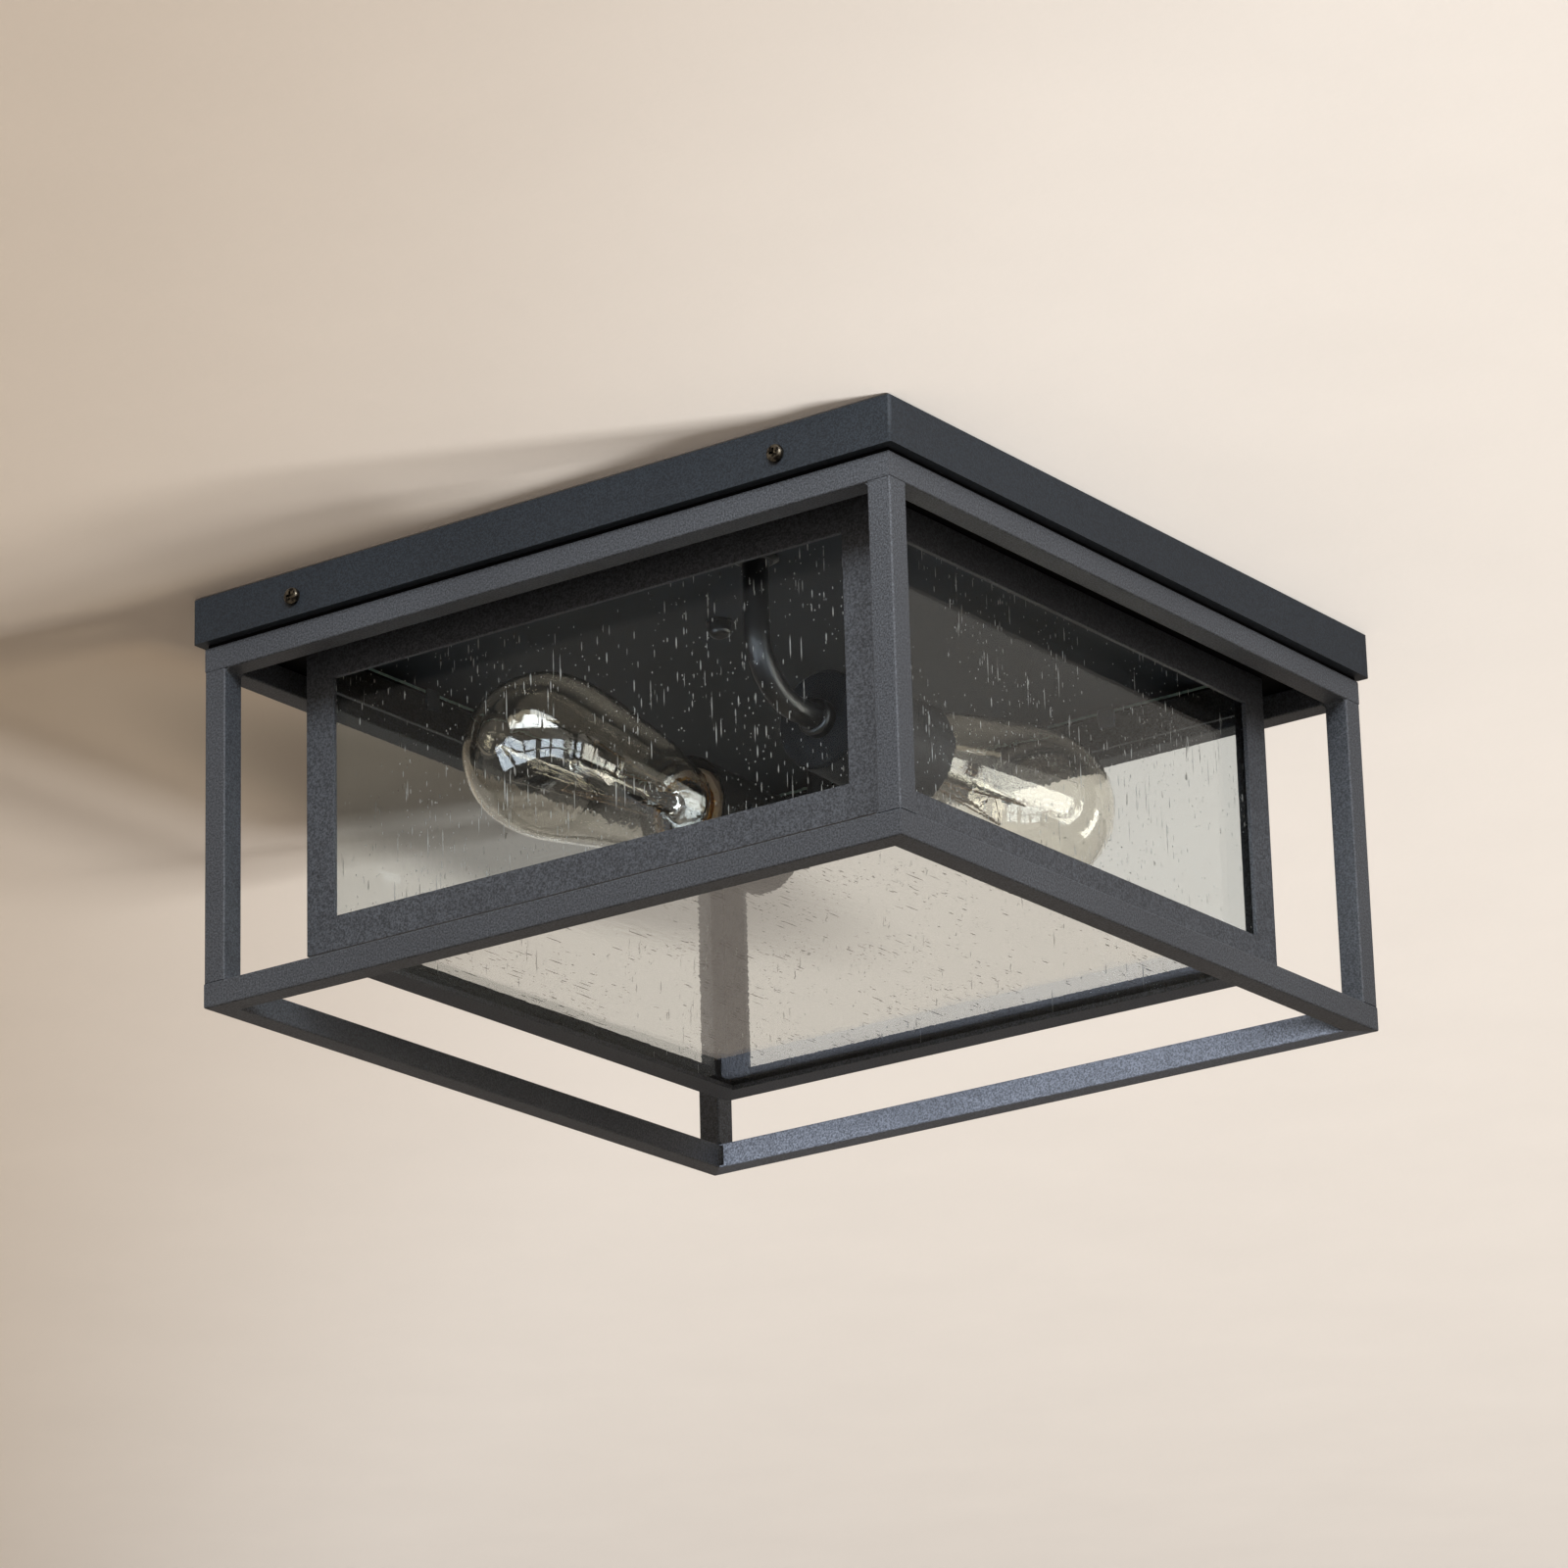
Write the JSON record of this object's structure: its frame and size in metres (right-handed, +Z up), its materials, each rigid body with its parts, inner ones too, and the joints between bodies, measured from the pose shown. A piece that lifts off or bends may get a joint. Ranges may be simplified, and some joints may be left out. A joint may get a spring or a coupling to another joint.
{
  "type": "ceiling lantern",
  "caption": "Square flush-mount porch ceiling lantern: an open square-tube cage round a glass-sided lantern with horizontal screw-base lamps under a shallow ceiling tray.",
  "frame": {"origin": "centre of the ceiling strap, in the ceiling plane", "axes": "+Z up into the ceiling; +X and +Y along the sides, lamp axes along Y"},
  "size_m": [0.33, 0.3342, 0.165],
  "materials": {
    "black_powder_coat": "textured charcoal black powder coat",
    "black_screw": "black oxide screw, satin",
    "zinc_steel": "zinc plated steel",
    "green_screw": "green passivated grounding screw",
    "seeded_glass": "clear seeded glass with fine bubbles",
    "porcelain": "glazed white porcelain",
    "brass": "bright brass",
    "amber_glass": "clear lamp glass with a faint amber tint",
    "stem_glass": "clear stem glass",
    "dark_insulator": "dark glass-like base insulator",
    "filament_wire": "thin drawn wire"
  },
  "bodies": {
    "canopy": {"arm_a": "black_powder_coat", "arm_b": "black_powder_coat", "arm_collars": "black_powder_coat", "arm_washers": "black_powder_coat", "box_strap": "zinc_steel", "cap_nuts": "black_powder_coat", "cup_a": "black_powder_coat", "cup_b": "black_powder_coat", "ground_screw": "green_screw", "holder_a": "porcelain", "holder_b": "porcelain", "holder_brass_a": "brass", "holder_brass_b": "brass", "lock_nuts": "zinc_steel", "strap_nipple": "zinc_steel", "stud_nuts": "zinc_steel", "stud_strap": "zinc_steel", "studs": "zinc_steel", "tray": "black_powder_coat"},
    "cage": {"cage_foot_back": "black_powder_coat", "cage_foot_front": "black_powder_coat", "cage_foot_left": "black_powder_coat", "cage_foot_right": "black_powder_coat", "cage_post_back_left": "black_powder_coat", "cage_post_back_right": "black_powder_coat", "cage_post_front_left": "black_powder_coat", "cage_post_front_right": "black_powder_coat", "cage_top_back": "black_powder_coat", "cage_top_front": "black_powder_coat", "cage_top_left": "black_powder_coat", "cage_top_right": "black_powder_coat", "cage_welds": "black_powder_coat", "frame_corner_back_left": "black_powder_coat", "frame_corner_back_right": "black_powder_coat", "frame_corner_front_left": "black_powder_coat", "frame_corner_front_right": "black_powder_coat", "frame_foot_rails": "black_powder_coat", "frame_top_rails": "black_powder_coat", "pane_back": "seeded_glass", "pane_bottom": "seeded_glass", "pane_clips": "black_powder_coat", "pane_front": "seeded_glass", "pane_left": "seeded_glass", "pane_right": "seeded_glass", "side_screws": "black_screw", "skirt": "black_powder_coat", "top_plate": "black_powder_coat", "weld_nuts": "zinc_steel"},
    "lamp_a": {"lamp_base_a": "brass", "lamp_filament_a": "filament_wire", "lamp_glass_a": "amber_glass", "lamp_insulator_a": "dark_insulator", "lamp_stem_a": "stem_glass"},
    "lamp_b": {"lamp_base_b": "brass", "lamp_filament_b": "filament_wire", "lamp_glass_b": "amber_glass", "lamp_insulator_b": "dark_insulator", "lamp_stem_b": "stem_glass"}
  },
  "joints": [
    {"name": "cage_lower", "type": "slide", "parent": "canopy", "child": "cage", "axis": [0, 0, -1], "range_m": [0, 0.105]},
    {"name": "lamp_a_turn", "type": "hinge", "parent": "canopy", "child": "lamp_a", "pos_m": [-0.052, 0, -0.0685], "axis": [0, -1, 0], "range_deg": [0, 360]},
    {"name": "lamp_b_turn", "type": "hinge", "parent": "canopy", "child": "lamp_b", "pos_m": [0.052, 0, -0.0685], "axis": [0, 1, 0], "range_deg": [0, 360]}
  ]
}
